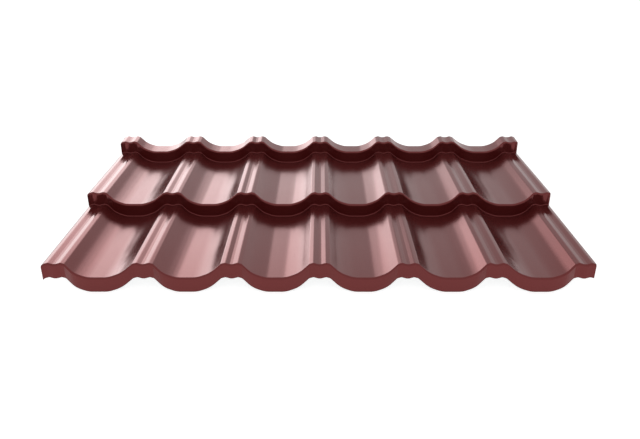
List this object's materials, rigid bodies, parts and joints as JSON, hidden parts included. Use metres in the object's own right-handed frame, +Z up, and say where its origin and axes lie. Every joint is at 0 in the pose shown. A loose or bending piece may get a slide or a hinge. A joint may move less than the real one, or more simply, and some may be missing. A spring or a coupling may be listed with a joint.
{
  "type": "modular metal roof tile sheet",
  "caption": "Wide painted steel roofing sheet pressed into tile courses: grooved wave crests, flat pans, stepped scalloped noses and a hanging front lip.",
  "frame": {"origin": "centre of the bounding box in plan, on the level floor under the lip and the feet of the steps", "axes": "+X across the waves, +Y up the roof slope from the front lip to the head edge, +Z up out of the painted side"},
  "size_m": [1.1878, 0.7704, 0.0586],
  "materials": {
    "painted_steel": "wine red coating, semi-gloss"
  },
  "bodies": {
    "root": {"tile_sheet": "painted_steel"}
  },
  "joints": []
}
